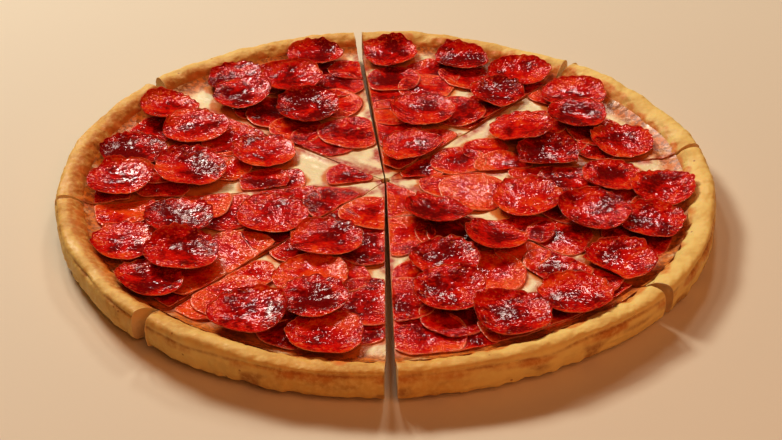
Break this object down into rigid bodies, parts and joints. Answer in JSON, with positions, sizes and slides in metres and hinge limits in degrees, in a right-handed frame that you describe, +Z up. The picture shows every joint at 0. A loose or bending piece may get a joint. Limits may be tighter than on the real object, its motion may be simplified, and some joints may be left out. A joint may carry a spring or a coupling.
{
  "type": "pepperoni pizza",
  "caption": "Round pepperoni pizza on a thin base with a raised baked rim, cut into slices that still lie together.",
  "frame": {"origin": "centre of the pizza's box on X and Y, on the surface that it lies on", "axes": "+Z up out of the toppings; +Y away from the viewer and +X to the right, as in the picture"},
  "size_m": [0.3584, 0.3554, 0.0242],
  "materials": {
    "crust": "baked dough, golden to toasted brown, dry and slightly floury, with fine wrinkles and pits",
    "cheese": "melted ivory cheese, smooth and slightly wet, stained orange with oil at its borders",
    "pepperoni": "deep red cured sausage, oily and glossy, darker in the middle, with thin pale lit edges"
  },
  "bodies": {
    "root": {"cheese_1": "cheese", "cheese_2": "cheese", "cheese_3": "cheese", "cheese_4": "cheese", "cheese_5": "cheese", "cheese_6": "cheese", "cheese_7": "cheese", "cheese_8": "cheese", "crust_1": "crust", "crust_2": "crust", "crust_3": "crust", "crust_4": "crust", "crust_5": "crust", "crust_6": "crust", "crust_7": "crust", "crust_8": "crust", "pepperoni_1_1": "pepperoni", "pepperoni_1_2": "pepperoni", "pepperoni_1_3": "pepperoni", "pepperoni_1_4": "pepperoni", "pepperoni_1_5": "pepperoni", "pepperoni_2_1": "pepperoni", "pepperoni_2_2": "pepperoni", "pepperoni_2_3": "pepperoni", "pepperoni_2_4": "pepperoni", "pepperoni_2_5": "pepperoni", "pepperoni_2_6": "pepperoni", "pepperoni_3_1": "pepperoni", "pepperoni_3_2": "pepperoni", "pepperoni_3_3": "pepperoni", "pepperoni_3_4": "pepperoni", "pepperoni_3_5": "pepperoni", "pepperoni_4_1": "pepperoni", "pepperoni_4_2": "pepperoni", "pepperoni_4_3": "pepperoni", "pepperoni_4_4": "pepperoni", "pepperoni_4_5": "pepperoni", "pepperoni_4_6": "pepperoni", "pepperoni_5_1": "pepperoni", "pepperoni_5_2": "pepperoni", "pepperoni_5_3": "pepperoni", "pepperoni_5_4": "pepperoni", "pepperoni_5_5": "pepperoni", "pepperoni_6_1": "pepperoni", "pepperoni_6_2": "pepperoni", "pepperoni_6_3": "pepperoni", "pepperoni_6_4": "pepperoni", "pepperoni_6_5": "pepperoni", "pepperoni_7_1": "pepperoni", "pepperoni_7_2": "pepperoni", "pepperoni_7_3": "pepperoni", "pepperoni_7_4": "pepperoni", "pepperoni_7_5": "pepperoni", "pepperoni_7_6": "pepperoni", "pepperoni_8_1": "pepperoni", "pepperoni_8_2": "pepperoni", "pepperoni_8_3": "pepperoni", "pepperoni_8_4": "pepperoni", "pepperoni_8_5": "pepperoni", "pepperoni_8_6": "pepperoni"}
  },
  "joints": []
}
